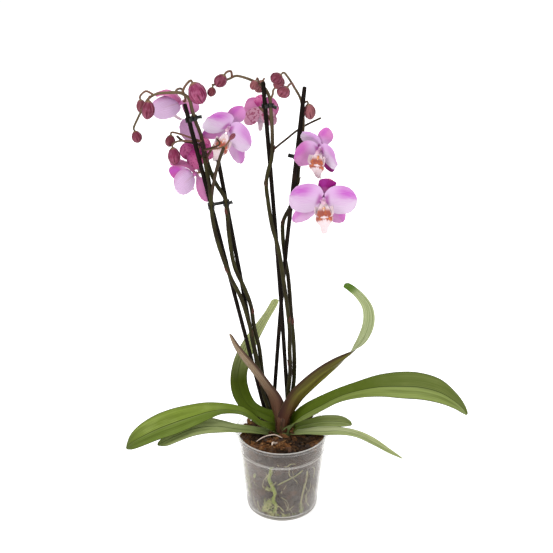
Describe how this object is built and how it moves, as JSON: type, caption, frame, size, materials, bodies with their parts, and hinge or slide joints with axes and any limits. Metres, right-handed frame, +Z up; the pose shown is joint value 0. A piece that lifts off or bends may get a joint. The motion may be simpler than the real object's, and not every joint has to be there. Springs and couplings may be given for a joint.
{
  "type": "potted orchid",
  "caption": "Moth orchid in a clear nursery pot of bark, with strap leaves, staked flower spikes, open blooms and hanging buds.",
  "frame": {"origin": "centre of the flat bottom face of the pot's foot", "axes": "+Z up along the pot's axis; the side that the picture shows faces -Y; +X is to the right in it"},
  "size_m": [0.4274, 0.12, 0.5739],
  "materials": {
    "pot": "gloss",
    "bark": "matte",
    "crown_roots": "satin",
    "leaf": "satin",
    "leaf_young": "satin",
    "stem": "satin",
    "stake": "matte",
    "clip": "satin",
    "petal": "satin",
    "lip": "satin",
    "bud": "satin"
  },
  "bodies": {
    "root": {"pot": "pot", "bark": "bark", "crown_roots": "crown_roots", "leaf_left_upper": "leaf", "leaf_left_lower": "leaf", "leaf_rear": "leaf", "leaf_young": "leaf_young", "leaf_upright": "leaf_young", "leaf_right_upper": "leaf", "leaf_right_short": "leaf", "leaf_right_lower": "leaf", "spike_left_front": "stem", "spike_left_arch": "stem", "spike_centre": "stem", "spike_right": "stem", "stake_far_left": "stake", "stake_left": "stake", "stake_centre": "stake", "stake_right": "stake", "clip_left_top": "clip", "clip_left_long": "clip", "clip_centre": "clip", "clip_right": "clip", "bloom_far_left_petals": "petal", "bloom_far_left_lip": "lip", "bloom_left_petals": "petal", "bloom_left_lip": "lip", "bloom_behind_petals": "petal", "bloom_behind_lip": "lip", "bloom_right_upper_petals": "petal", "bloom_right_upper_lip": "lip", "bloom_right_petals": "petal", "bloom_right_lip": "lip", "bloom_left_lower_petals": "petal", "bloom_left_lower_lip": "lip", "bloom_left_back_petals": "petal", "bloom_left_back_lip": "lip", "bud_tail_end": "bud", "bud_tail_front": "bud", "bud_tail_back": "bud", "bud_large": "bud", "bud_arch_end": "bud", "bud_arch": "bud", "bud_pale": "bud", "bud_dark": "bud", "bud_tip_left": "bud", "bud_tip_right": "bud", "bud_tip_back": "bud", "bud_by_stake": "bud", "bud_shoot_upper": "bud", "bud_shoot_lower": "bud", "bud_small": "bud"}
  },
  "joints": []
}
